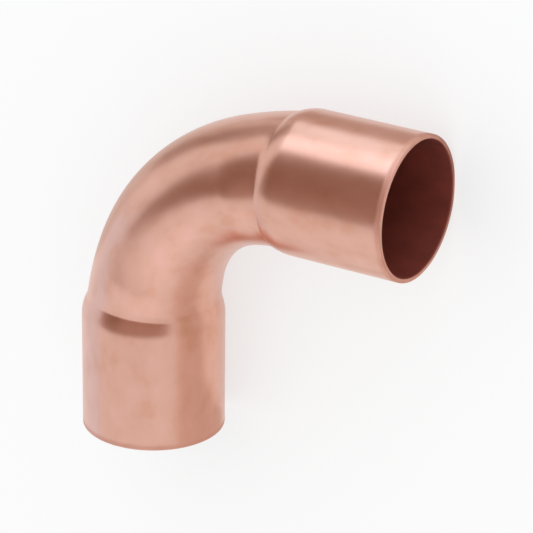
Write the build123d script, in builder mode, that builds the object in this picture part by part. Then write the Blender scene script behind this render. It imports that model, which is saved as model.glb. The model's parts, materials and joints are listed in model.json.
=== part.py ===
from build123d import *
from math import acos, cos, degrees, radians, sin, sqrt
import os

os.makedirs("parts", exist_ok=True)

# A copper elbow for soldered water tube: one length of tube, bent through a right
# angle, with both ends swelled into sockets. It lies flat on its side, as it comes to rest.
#
# The frame: the origin is the centre of the inlet's mouth, which faces -Y. +X points out
# of the outlet's mouth, and +Z is square to the plane that both socket axes lie in.

# Driving sizes, in millimetres

tube_diameter = 22.2  # outside, of the water tube that each socket takes
solder_gap = 0.065  # left all round that tube
wall = 0.85  # of the copper, the same everywhere
socket_length = 20.6  # parallel stretch, from the mouth to the shoulder
bend_radius = 28.55  # of the bend's centre line
narrowing = 1.67  # of the outer radius, from a socket down to the bend
flattening = 1.2  # by which the bend's radius is more across its plane than in it
shoulder_radius = 1.5  # outside, convex, where a socket ends
flare_radius = 23.5  # outside, concave, from there down to the bend
flare_start = 0.15  # straight stretch of the flare, before the bend turns it
lip_round = 0.25  # on both edges of a mouth

# Sizes that follow

bore_radius = tube_diameter / 2 + solder_gap
socket_radius = bore_radius + wall
throat_radius = socket_radius - narrowing

# The shoulder and the flare are two arcs that meet where both slope by flare_slope.
# The bend starts soon after, and turns the rest of the flare with it.
flare_slope = acos(1 - narrowing / (shoulder_radius + flare_radius))
shoulder_length = shoulder_radius * sin(flare_slope)
flare_length = flare_radius * sin(flare_slope)
shoulder_centre = Vector(socket_radius - shoulder_radius, socket_length)
flare_centre = Vector(throat_radius + flare_radius, socket_length + shoulder_length + flare_length)

leg_length = socket_length + shoulder_length + flare_start
bent_flare = flare_length - flare_start
bend_centre = Vector(bend_radius, leg_length)
crossing_to_mouth = leg_length + bend_radius
lip = min(lip_round, wall * 0.4)


def flare_point(radius, height):
    """Point of the flare's arc of that radius, at that height along a straight leg."""
    return Vector(flare_centre.X - sqrt(radius**2 - (flare_centre.Y - height) ** 2), height)


def flare_radius_at(distance, radius):
    """The same arc's distance from the axis, so far along the surface from the bend's start."""
    return flare_point(radius, min(leg_length + distance, flare_centre.Y)).X


def shoulder_point(radius, slope):
    """Point of the shoulder's arc of that radius, where it slopes inwards by that angle."""
    return shoulder_centre + Vector(radius * cos(slope), radius * sin(slope))


class Ring:
    """Oval section across the bend, that many degrees along it, where the flare has that radius.

    The flare keeps its shape as the bend turns it, so it is measured along the surface:
    it ends early on the outer side of the bend, where the surface is long, and late on
    the inner side. That moves the oval's centre off the bend's centre line.
    """

    def __init__(self, angle, arc_radius):
        travel = radians(min(angle, 90 - angle)) * bend_radius
        stretch = flare_radius_at(0, arc_radius) / bend_radius
        outer = flare_radius_at(travel * (1 + stretch), arc_radius)
        inner = flare_radius_at(travel * (1 - stretch), arc_radius)
        flattened = min(travel / bent_flare, 1)
        self.in_plane = (outer + inner) / 2
        self.across = flare_radius_at(travel, arc_radius) + flattening * flattened**2 * (3 - 2 * flattened)
        outward = Vector(-1, 0).rotate(Axis.Z, -angle)
        centre = bend_centre + outward * (bend_radius + (outer - inner) / 2)
        along = Vector(0, 1).rotate(Axis.Z, -angle)
        self.plane = Plane(centre, x_dir=(0, 0, 1), z_dir=along)


# The bend is lofted through its rings, which crowd together towards the shoulders, where
# the flare is steepest.

flare_angle = degrees(bent_flare / (bend_radius - socket_radius))
flare_steps = 10
crowding = 1.5  # power: 1 spaces the rings of the flare evenly
plain_steps = 3
plain_angle = 90 - 2 * flare_angle
first_angles = [flare_angle * (step / flare_steps) ** crowding for step in range(flare_steps)]
plain_angles = [flare_angle + plain_angle * step / plain_steps for step in range(plain_steps + 1)]
last_angles = [90 - angle for angle in reversed(first_angles)]
ring_angles = first_angles + plain_angles + last_angles


with BuildPart() as elbow:

    # The inlet's leg: half of its wall, turned about its axis. The bore ends at the
    # shoulder, which stops the tube.
    with BuildSketch(Plane.XY):
        with BuildLine():
            outside_end = shoulder_point(shoulder_radius, flare_slope)
            inside_end = shoulder_point(shoulder_radius - wall, flare_slope)
            socket_side = Line((socket_radius, 0), (socket_radius, socket_length))
            shoulder = ThreePointArc(
                socket_side @ 1,
                shoulder_point(shoulder_radius, flare_slope / 2),
                outside_end,
            )
            flare = ThreePointArc(
                shoulder @ 1,
                flare_point(flare_radius, leg_length - flare_start / 2),
                flare_point(flare_radius, leg_length),
            )
            bend_end = Line(flare @ 1, flare_point(flare_radius + wall, leg_length))
            flare_bore = ThreePointArc(
                bend_end @ 1,
                flare_point(flare_radius + wall, (leg_length + inside_end.Y) / 2),
                inside_end,
            )
            stop = ThreePointArc(
                flare_bore @ 1,
                shoulder_point(shoulder_radius - wall, flare_slope / 2),
                (bore_radius, socket_length),
            )
            bore_side = Line(stop @ 1, (bore_radius, 0))
            Line(bore_side @ 1, socket_side @ 0)
        make_face()
    revolve(axis=Axis.Y)
    mouth = elbow.faces().sort_by(Axis.Y)[0]
    fillet(mouth.edges(), radius=lip)

    # The outlet's leg is its mirror image, across the plane that halves the bend.
    mirror(about=Plane(bend_centre, x_dir=(0, 0, 1), z_dir=(1, 1, 0)))

    # The bend between them
    for skin in (flare_radius, flare_radius + wall):
        for ring_angle in ring_angles:
            ring = Ring(ring_angle, skin)
            with BuildSketch(ring.plane):
                Ellipse(ring.across, ring.in_plane)
        loft(mode=Mode.ADD if skin == flare_radius else Mode.SUBTRACT)

elbow.part.label = "elbow"
export_step(elbow.part, "parts/elbow.step")

print("from the crossing of the axes to each mouth:", round(crossing_to_mouth, 3))
print("bend, outside: width", round(2 * throat_radius, 3), "height", round(2 * throat_radius + 2 * flattening, 3))
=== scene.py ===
import json
import math

import bpy
from mathutils import Matrix, Vector, noise


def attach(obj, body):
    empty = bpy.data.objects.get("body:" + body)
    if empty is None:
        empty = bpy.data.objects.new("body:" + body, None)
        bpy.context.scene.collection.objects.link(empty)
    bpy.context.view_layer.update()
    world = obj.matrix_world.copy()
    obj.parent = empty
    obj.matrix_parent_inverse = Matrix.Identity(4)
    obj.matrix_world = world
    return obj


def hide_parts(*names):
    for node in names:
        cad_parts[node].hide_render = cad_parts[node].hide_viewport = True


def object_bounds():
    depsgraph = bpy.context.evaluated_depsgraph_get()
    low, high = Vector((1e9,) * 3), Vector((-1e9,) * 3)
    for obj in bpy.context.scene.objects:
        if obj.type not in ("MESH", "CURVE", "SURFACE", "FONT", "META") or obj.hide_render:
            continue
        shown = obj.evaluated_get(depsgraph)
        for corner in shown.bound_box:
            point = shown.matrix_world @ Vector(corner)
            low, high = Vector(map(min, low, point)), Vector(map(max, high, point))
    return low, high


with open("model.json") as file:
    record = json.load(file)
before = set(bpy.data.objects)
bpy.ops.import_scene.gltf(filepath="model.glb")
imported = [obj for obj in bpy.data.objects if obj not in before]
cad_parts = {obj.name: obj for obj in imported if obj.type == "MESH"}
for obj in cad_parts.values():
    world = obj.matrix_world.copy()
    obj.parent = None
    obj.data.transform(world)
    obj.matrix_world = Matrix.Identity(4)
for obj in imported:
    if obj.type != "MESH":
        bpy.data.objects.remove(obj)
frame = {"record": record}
cad_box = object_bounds()

# A copper elbow for soldered water tube, on a white floor. Everything is in metres, in the
# row frame: the inlet's mouth is centred on the origin and faces -Y, the outlet's mouth
# faces +X, and +Z is square to the plane of both socket axes.

# ---------------------------------------------------------------- sizes

MM = 0.001
mounts = {mount["name"]: mount for mount in frame["record"]["mounts"]}
outlet_mouth = Vector(mounts["outlet_socket"]["pos_m"])
floor_height = cad_box[0].z

bore_radius = mounts["inlet_socket"]["dims"]["r_mm"] * MM
socket_radius = -cad_box[0].x
wall = socket_radius - bore_radius
bend_radius = 28.55 * MM
socket_length = 19.9 * MM  # parallel stretch, from the mouth to the shoulder
narrowing = 1.70 * MM  # of the radius, from a socket down to the bend
flattening = 1.2 * MM  # how much wider the bend is across its plane, each side
flattening_run = 8.3 * MM  # of the bend, in which it widens
shoulder_radius = 7.0 * MM  # convex, where a socket ends
foot_radius = 1.6 * MM  # concave, at the foot of the shoulder
shoulder_slope = math.radians(27)  # where the two meet
foot_slope = math.radians(8)  # where the foot runs into the long, faint flare
lip_round = 0.25 * MM

throat_radius = socket_radius - narrowing
shoulder_end = socket_length + shoulder_radius * math.sin(shoulder_slope)
foot_end = shoulder_end + foot_radius * (math.sin(shoulder_slope) - math.sin(foot_slope))
shoulder_drop = shoulder_radius * (1 - math.cos(shoulder_slope))
foot_drop = foot_radius * (math.cos(foot_slope) - math.cos(shoulder_slope))
flare_radius = (narrowing - shoulder_drop - foot_drop) / (1 - math.cos(foot_slope))
flare_end = foot_end + flare_radius * math.sin(foot_slope)
leg_length = outlet_mouth.x - bend_radius
bend_length = bend_radius * math.pi / 2
path_length = 2 * leg_length + bend_length

RING_POINTS = 176


# ---------------------------------------------------------------- the tube's shape


def skin_radius(distance, depth):
    """Radius of the skin that lies depth inside the outer one, that far from a mouth.

    The skin runs along the socket, over the convex shoulder, through the concave foot and
    down the long flare. Each arc of it keeps its centre when the skin moves inwards.
    """
    if distance <= socket_length:
        return socket_radius - depth
    if distance <= shoulder_end - depth * math.sin(shoulder_slope):
        rise = distance - socket_length
        return socket_radius - shoulder_radius + math.sqrt((shoulder_radius - depth) ** 2 - rise**2)
    if distance <= foot_end - depth * math.sin(foot_slope):
        radius, end = foot_radius, foot_end + foot_radius * math.sin(foot_slope)
        lowest = throat_radius + flare_radius * (1 - math.cos(foot_slope))
        lowest -= foot_radius * (1 - math.cos(foot_slope))
    else:
        radius, end, lowest = flare_radius, flare_end, throat_radius
    left = end - min(distance, end)
    return lowest + radius - math.sqrt((radius + depth) ** 2 - left**2)


def ring_frame(travel):
    """Centre and outward direction of the path, that far along it from the inlet's mouth."""
    turned = min(max(travel - leg_length, 0) / bend_radius, math.pi / 2)
    outward = Vector((-math.cos(turned), math.sin(turned), 0))
    along = Vector((math.sin(turned), math.cos(turned), 0))
    centre = Vector((bend_radius, leg_length, 0)) + outward * bend_radius
    if travel < leg_length:
        centre += along * (travel - leg_length)
    if travel > leg_length + bend_length:
        centre += along * (travel - leg_length - bend_length)
    return centre, outward


def ring_radii(travel, depth):
    """The ring's radius on the outside of the bend, on its inside, and across its plane."""
    distance = min(travel, path_length - travel)
    if distance <= leg_length:
        radius = skin_radius(distance, depth)
        return radius, radius, radius
    bent = distance - leg_length
    stretch = skin_radius(leg_length, depth) / bend_radius
    outer = skin_radius(leg_length + bent * (1 + stretch), depth)
    inner = skin_radius(leg_length + bent * (1 - stretch), depth)
    share = min(bent / flattening_run, 1)
    across = skin_radius(distance, depth) + flattening * share**2 * (3 - 2 * share)
    return outer, inner, across


def steps(start, end, size):
    """Evenly spaced values from start up to, not including, end."""
    count = max(1, round((end - start) / size))
    return [start + (end - start) * i / count for i in range(count)]


def skin_stations(depth):
    """Distances along the path at which the skin has a ring, crowded where it curves most."""
    half = (
        steps(lip_round, 1.6 * MM, 0.2 * MM)
        + steps(1.6 * MM, socket_length, 0.6 * MM)
        + steps(socket_length, shoulder_end - depth * math.sin(shoulder_slope), 0.12 * MM)
        + steps(shoulder_end - depth * math.sin(shoulder_slope), foot_end + 1.0 * MM, 0.1 * MM)
        + steps(foot_end + 1.0 * MM, path_length / 2, 0.45 * MM)
    )
    return half + [path_length / 2] + [path_length - s for s in reversed(half)]


def lip_stations(outward):
    """Pairs of depth and distance from the mouth, along the rounded edges of the wall's end."""
    arc = [math.pi / 2 * i / 6 for i in range(7)]
    outside = [(lip_round * (1 - math.cos(a)), lip_round * (1 - math.sin(a))) for a in arc]
    inside = [(wall - depth, distance) for depth, distance in reversed(outside)]
    whole = outside + inside
    return whole if outward else list(reversed(whole))


def wall_loop():
    """Every ring of the closed wall, as pairs of distance along the path and depth."""
    loop = [(s, 0.0) for s in skin_stations(0.0)[1:-1]]
    loop += [(path_length - distance, depth) for depth, distance in lip_stations(True)]
    loop += [(s, wall) for s in reversed(skin_stations(wall)[1:-1])]
    loop += [(distance, depth) for depth, distance in lip_stations(False)]
    return loop


def dent(spot):
    """How far the skin lies inside its true shape, for the slight waviness of formed tube."""
    wide = noise.noise(Vector((spot.x, spot.y, spot.z * 0.6)) / (9 * MM))
    fine = noise.noise(Vector((spot.x, spot.y, spot.z * 0.5)) / (3.2 * MM) + Vector((7, 3, 5)))
    return (0.030 * (1 + wide) + 0.006 * (1 + fine)) * MM * 0.5


def build_elbow():
    """The whole fitting as one closed mesh, with the places of its points on the straightened tube."""
    points, straight, inside, sized = [], [], [], []
    loop = wall_loop()
    for travel, depth in loop:
        centre, outward = ring_frame(travel)
        outer, inner, across = ring_radii(travel, depth)
        middle = centre + outward * (outer - inner) / 2
        in_plane = (outer + inner) / 2
        for i in range(RING_POINTS):
            turn = 2 * math.pi * i / RING_POINTS
            unit = Vector((math.cos(turn), math.sin(turn), travel))
            spot = Vector((unit.x * socket_radius, unit.y * socket_radius, travel))
            shrink = 1 - dent(spot) / socket_radius
            point = middle + outward * unit.x * in_plane * shrink
            points.append(point + Vector((0, 0, unit.y * across * shrink)))
            straight.append(spot)
            inside.append(1.0 if depth >= wall - 0.5 * lip_round else 0.0)
            sized.append(1.0 - (min(travel, path_length - travel) - 0.6 * MM) / (0.6 * MM))
    faces = []
    for k in range(len(loop)):
        here = k * RING_POINTS
        there = (k + 1) % len(loop) * RING_POINTS
        for i in range(RING_POINTS):
            j = (i + 1) % RING_POINTS
            faces.append((here + i, here + j, there + j, there + i))
    mesh = bpy.data.meshes.new("elbow_copper")
    mesh.from_pydata(points, [], faces)
    mesh.attributes.new("straight", "FLOAT_VECTOR", "POINT").data.foreach_set(
        "vector", [value for spot in straight for value in spot]
    )
    mesh.attributes.new("inside", "FLOAT", "POINT").data.foreach_set("value", inside)
    sized = [min(max(value, 0.0), 1.0) for value in sized]
    mesh.attributes.new("sized", "FLOAT", "POINT").data.foreach_set("value", sized)
    mesh.polygons.foreach_set("use_smooth", [True] * len(faces))
    mesh.update()
    elbow = bpy.data.objects.new("elbow_copper", mesh)
    bpy.context.scene.collection.objects.link(elbow)
    return elbow


# ---------------------------------------------------------------- materials


class Nodes:
    """A node tree with short calls for adding nodes and joining them."""

    def __init__(self, tree):
        self.tree = tree
        tree.nodes.clear()

    def add(self, kind, inputs=None, **settings):
        node = self.tree.nodes.new(kind)
        for name, value in settings.items():
            setattr(node, name, value)
        for name, value in (inputs or {}).items():
            if isinstance(value, bpy.types.NodeSocket):
                self.tree.links.new(value, node.inputs[name])
            else:
                node.inputs[name].default_value = value
        return node

    def ramp(self, value, stops):
        """Colour ramp of that value: stops are pairs of place and colour."""
        node = self.add("ShaderNodeValToRGB", {"Fac": value})
        elements = node.color_ramp.elements
        while len(elements) < len(stops):
            elements.new(0.5)
        for element, (place, colour) in zip(elements, stops):
            element.position = place
            element.color = (*colour, 1)
        return node.outputs["Color"]

    def noise(self, vector, stretch, scale, detail=4.0, roughness=0.5):
        """Noise whose grain is stretched along the tube."""
        mapped = self.add("ShaderNodeMapping", {"Vector": vector, "Scale": (1, 1, stretch)})
        texture = self.add(
            "ShaderNodeTexNoise",
            {
                "Vector": mapped.outputs["Vector"],
                "Scale": scale,
                "Detail": detail,
                "Roughness": roughness,
            },
        )
        return texture.outputs["Fac"]


def copper_material():
    """Satin drawn copper, bright outside and on the rims, with the dark oxide of the bore inside."""
    material = bpy.data.materials.new("copper")
    material.use_nodes = True
    n = Nodes(material.node_tree)
    straight = n.add("ShaderNodeAttribute", attribute_name="straight").outputs["Vector"]
    inside = n.add("ShaderNodeAttribute", attribute_name="inside").outputs["Fac"]
    sized = n.add("ShaderNodeAttribute", attribute_name="sized").outputs["Fac"]

    blotches = n.noise(straight, 0.7, 300, 2.0, 0.5)
    lines = n.noise(straight, 0.03, 900, 1.0, 0.5)
    grain = n.noise(straight, 0.3, 450, 1.0, 0.5)

    copper = n.ramp(
        blotches,
        [
            (0.30, (0.700, 0.375, 0.280)),
            (0.45, (0.730, 0.412, 0.325)),
            (0.55, (0.742, 0.424, 0.334)),
            (0.70, (0.770, 0.440, 0.362)),
        ],
    )
    oxide = n.ramp(blotches, [(0.3, (0.19, 0.033, 0.020)), (0.7, (0.25, 0.045, 0.028))])
    colour = n.add("ShaderNodeMix", data_type="RGBA")
    n.tree.links.new(inside, colour.inputs[0])
    n.tree.links.new(copper, colour.inputs[6])
    n.tree.links.new(oxide, colour.inputs[7])

    polish = n.add("ShaderNodeMapRange", {"Value": blotches, "To Min": 0.276, "To Max": 0.30})
    brushed = n.add(
        "ShaderNodeMix",
        {"Factor": sized, "A": polish.outputs["Result"], "B": 0.58},
        data_type="FLOAT",
    )
    rough = n.add(
        "ShaderNodeMix",
        {"Factor": inside, "A": brushed.outputs["Result"], "B": 0.6},
        data_type="FLOAT",
    )
    metal = n.add("ShaderNodeMapRange", {"Value": inside, "To Min": 1.0, "To Max": 0.15})
    relief = n.add("ShaderNodeMath", {0: lines, 1: grain}, operation="ADD")
    bump = n.add(
        "ShaderNodeBump",
        {"Height": relief.outputs["Value"], "Strength": 0.10, "Distance": 0.02 * MM},
    )
    shader = n.add(
        "ShaderNodeBsdfPrincipled",
        {
            "Base Color": colour.outputs[2],
            "Metallic": metal.outputs["Result"],
            "Roughness": rough.outputs["Result"],
            "Normal": bump.outputs["Normal"],
        },
    )
    n.add("ShaderNodeOutputMaterial", {"Surface": shader.outputs["BSDF"]})
    return material


def floor_material():
    """Matt white paper."""
    material = bpy.data.materials.new("white_paper")
    material.use_nodes = True
    n = Nodes(material.node_tree)
    paper = n.add("ShaderNodeBsdfDiffuse", {"Color": (0.93, 0.93, 0.93, 1)})
    white = n.add("ShaderNodeEmission", {"Color": (1, 1, 1, 1), "Strength": 1.0})
    path = n.add("ShaderNodeLightPath")
    seen = path.outputs["Is Camera Ray"]
    for kind in ("Is Glossy Ray", "Is Transmission Ray"):
        seen = n.add("ShaderNodeMath", {0: seen, 1: path.outputs[kind]}, operation="MAXIMUM")
        seen = seen.outputs["Value"]
    share = n.add("ShaderNodeMath", {0: seen, 1: 0.65}, operation="MULTIPLY")
    mixed = n.add(
        "ShaderNodeMixShader",
        {0: share.outputs["Value"], 1: paper.outputs["BSDF"], 2: white.outputs["Emission"]},
    )
    n.add("ShaderNodeOutputMaterial", {"Surface": mixed.outputs["Shader"]})
    return material


def card_material(name, colour):
    """A card that gives off that much light, for painted reflections that only the metal shows."""
    material = bpy.data.materials.new(name)
    material.use_nodes = True
    n = Nodes(material.node_tree)
    glow = n.add("ShaderNodeEmission", {"Color": (*colour, 1), "Strength": 1.0})
    n.add("ShaderNodeOutputMaterial", {"Surface": glow.outputs["Emission"]})
    return material


# ---------------------------------------------------------------- studio

SUBJECT = Vector((0.019, 0.031, 0))


def stage_piece(name, points, material):
    """Flat stage piece through those corners."""
    mesh = bpy.data.meshes.new(name)
    mesh.from_pydata(points, [], [tuple(range(len(points)))])
    mesh.materials.append(material)
    piece = bpy.data.objects.new(name, mesh)
    bpy.context.scene.collection.objects.link(piece)
    return piece


def show_in_metal_only(piece):
    """The piece is seen only as the metal's reflections of it."""
    piece.visible_camera = False
    piece.visible_diffuse = False
    piece.visible_shadow = False
    piece.visible_transmission = False


def card(name, outline, origin, colour):
    """Level card with that outline about the origin, a glowing card seen only in the metal as a painted reflection."""
    points = [origin + Vector((x, y, 0)) for x, y in outline]
    show_in_metal_only(stage_piece(name, points, card_material(name, colour)))


def wall_card(name, start, end, top, colour):
    """Upright card that stands on the floor from start to end, a glowing card seen only in the metal as a painted
    reflection.
    """
    points = [Vector((*spot, z)) for spot, z in ((start, floor_height), (end, floor_height), (end, top), (start, top))]
    show_in_metal_only(stage_piece(name, points, card_material(name, colour)))


def build_studio():
    reach = 6.0
    corners = ((-reach, -reach), (reach, -reach), (reach, reach), (-reach, reach))
    stage_piece("floor", [Vector((x, y, floor_height)) for x, y in corners], floor_material())
    # Painted reflections of a ceiling over the camera, on glowing cards that only the metal shows: dim between the lit
    # sides of the room, and pale in front
    height = 0.5
    ceiling = SUBJECT + Vector((0, 0, height))
    card("dim_ceiling_reflection", [(-0.84, -0.16), (-0.23, -0.16), (-0.23, 1.05), (-0.60, 1.05), (-0.84, 0.45)], ceiling, (0.335, 0.205, 0.155))
    card("dark_ceiling_reflection", [(-0.36, 0.05), (-0.23, 0.05), (-0.23, 0.60), (-0.36, 0.60)], ceiling - Vector((0, 0, 0.005)), (0.26, 0.15, 0.11))
    card("warm_ceiling_reflection", [(-0.23, -0.14), (0.45, -0.14), (0.75, -0.1), (0.75, 0.75), (-0.23, 0.75)], ceiling, (0.465, 0.312, 0.255))
    card("front_ceiling_reflection", [(-0.28, -1.50), (0.48, -1.50), (0.48, -0.36), (-0.28, -0.36)], ceiling, (1.09, 1.09, 1.11))
    # Tones of the floor round the object, as the metal mirrors them: painted shadows and painted light on glowing
    # cards that only the metal shows
    level = Vector((0, 0, floor_height + 0.0005))
    # painted shade of the floor behind the bend, seen only in the metal
    card("floor_shade_behind_bend_reflection", [(-0.20, 0.02), (-0.022, 0.02), (0.0, 0.062), (0.012, 0.066), (-0.06, 0.20), (-0.20, 0.20)], level, (0.80, 0.76, 0.73))
    step = Vector((0, 0, 0.0005))
    # painted shade: a dark wedge, a darker strip and a warm shaded patch of floor beyond the bend, seen only in the
    # metal
    card("shade_wedge_reflection", [(-0.010, 0.066), (-0.024, 0.055), (-0.055, 0.055), (-0.10, 0.08), (-0.085, 0.108), (-0.030, 0.075)], level + step, (0.47, 0.37, 0.32))
    card("dark_shade_strip_reflection", [(-0.006, 0.073), (-0.030, 0.075), (-0.085, 0.108), (-0.080, 0.125), (-0.018, 0.088)], level + step, (0.33, 0.23, 0.19))
    card("warm_floor_shade_reflection", [(-0.006, 0.073), (-0.018, 0.088), (-0.080, 0.125), (-0.20, 0.20), (-0.10, 0.29), (0.010, 0.082)], level + step, (0.46, 0.36, 0.31))
    # painted contact shadow at the foot of the outlet socket, seen only in the metal
    card("socket_foot_shadow_reflection", [(0.010, 0.066), (0.060, 0.064), (0.060, 0.080), (0.008, 0.083)], level + step, (0.62, 0.51, 0.46))
    # painted highlight on the floor beyond the outlet, brighter than white, seen only in the metal
    card("floor_highlight_reflection", [(0.010, 0.084), (0.060, 0.084), (0.060, 0.36), (-0.13, 0.36)], level + 2 * step, (1.28, 1.43, 1.53))
    # painted shadow of the floor beside the crook, seen only in the metal
    card("floor_shadow_beside_crook_reflection", [(0.012, -0.15), (0.15, -0.15), (0.15, 0.035), (0.037, 0.035), (0.037, 0.0), (0.012, 0.0)], level, (0.74, 0.63, 0.57))
    # painted light over the object's own shadow in the crook and before the inlet, seen only in the metal
    card("floor_light_in_crook_reflection", [(0.015, 0.0), (0.037, 0.0), (0.037, 0.035), (0.015, 0.035)], level, (0.95, 0.88, 0.83))
    card("floor_light_before_inlet_reflection", [(-0.03, -0.10), (0.003, -0.10), (0.003, 0.025), (-0.03, 0.025)], level, (0.98, 0.97, 0.97))
    # painted contact shadow under the outlet's rim, seen only in the metal
    card("floor_shadow_below_outlet_reflection", [(0.045, 0.034), (0.0555, 0.034), (0.0555, 0.066), (0.045, 0.066)], level, (0.40, 0.30, 0.26))
    # Painted reflections of the low, warm side of the room beyond the crook, on glowing cards that only the metal
    # shows
    wall_card("warm_side_reflection", (0.150, -0.150), (0.150, -0.030), 0.055, (0.79, 0.66, 0.60))
    wall_card("shaded_warm_wall_reflection", (0.150, -0.030), (0.150, 0.060), 0.055, (0.66, 0.50, 0.39))
    wall_card("warm_front_reflection", (0.060, -0.150), (0.150, -0.150), 0.030, (0.82, 0.70, 0.64))
    # Painted reflection of the cool, low side of the room behind the bend, on a glowing card that only the metal shows
    wall_card("cool_side_reflection", (-0.150, -0.150), (-0.150, 0.040), 0.085, (0.90, 1.00, 1.12))
    # The large soft light along the +Y side
    add_area("softbox", SUBJECT + Vector((0.02, 0.42, 0.08)), SUBJECT, 0.58, 0.235, 1.09)
    world = bpy.data.worlds.new("room")
    world.use_nodes = True
    n = Nodes(world.node_tree)
    sky = n.add("ShaderNodeBackground", {"Color": (0.97, 0.97, 0.97, 1), "Strength": 1.0})
    n.add("ShaderNodeOutputWorld", {"Surface": sky.outputs["Background"]})
    bpy.context.scene.world = world


def add_area(name, place, target, width, height, level):
    """Rectangular lamp that looks as bright as level."""
    lamp = bpy.data.lights.new(name, "AREA")
    lamp.shape = "RECTANGLE"
    lamp.size = width
    lamp.size_y = height
    lamp.energy = level * width * height * math.pi
    lamp.color = (0.79, 0.92, 1.10)
    thing = bpy.data.objects.new(name, lamp)
    thing.location = place
    thing.rotation_mode = "QUATERNION"
    thing.rotation_quaternion = (Vector(target) - Vector(place)).to_track_quat("-Z", "Y")
    thing.visible_camera = False
    bpy.context.scene.collection.objects.link(thing)
    return thing


def build_camera():
    """Camera of the photograph: azimuth from +Z towards +X, elevation towards +Y, about the tube's bend."""
    azimuth, elevation, roll = (math.radians(angle) for angle in (31.743, 23.312, 0.657))
    target = Vector((22.054, 33.454, 0)) * MM
    back = Vector(
        (
            math.sin(azimuth) * math.cos(elevation),
            math.sin(elevation),
            math.cos(azimuth) * math.cos(elevation),
        )
    )
    level = Vector((0, 1, 0)).cross(back).normalized()
    upright = back.cross(level)
    right = level * math.cos(roll) + upright * math.sin(roll)
    up = upright * math.cos(roll) - level * math.sin(roll)
    lens = bpy.data.cameras.new("camera")
    lens.sensor_width = 36
    lens.lens = 230.45
    lens.clip_start = 0.05
    lens.clip_end = 50
    camera = bpy.data.objects.new("camera", lens)
    camera.matrix_world = Matrix.Translation(target + back * 0.553823) @ Matrix(
        (right, up, back)
    ).transposed().to_4x4()
    bpy.context.scene.collection.objects.link(camera)
    bpy.context.scene.camera = camera


# ---------------------------------------------------------------- the scene

bpy.context.scene.view_settings.view_transform = "Standard"

elbow = build_elbow()
elbow.data.materials.append(copper_material())
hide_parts("elbow")
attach(elbow, "root")

build_studio()
build_camera()
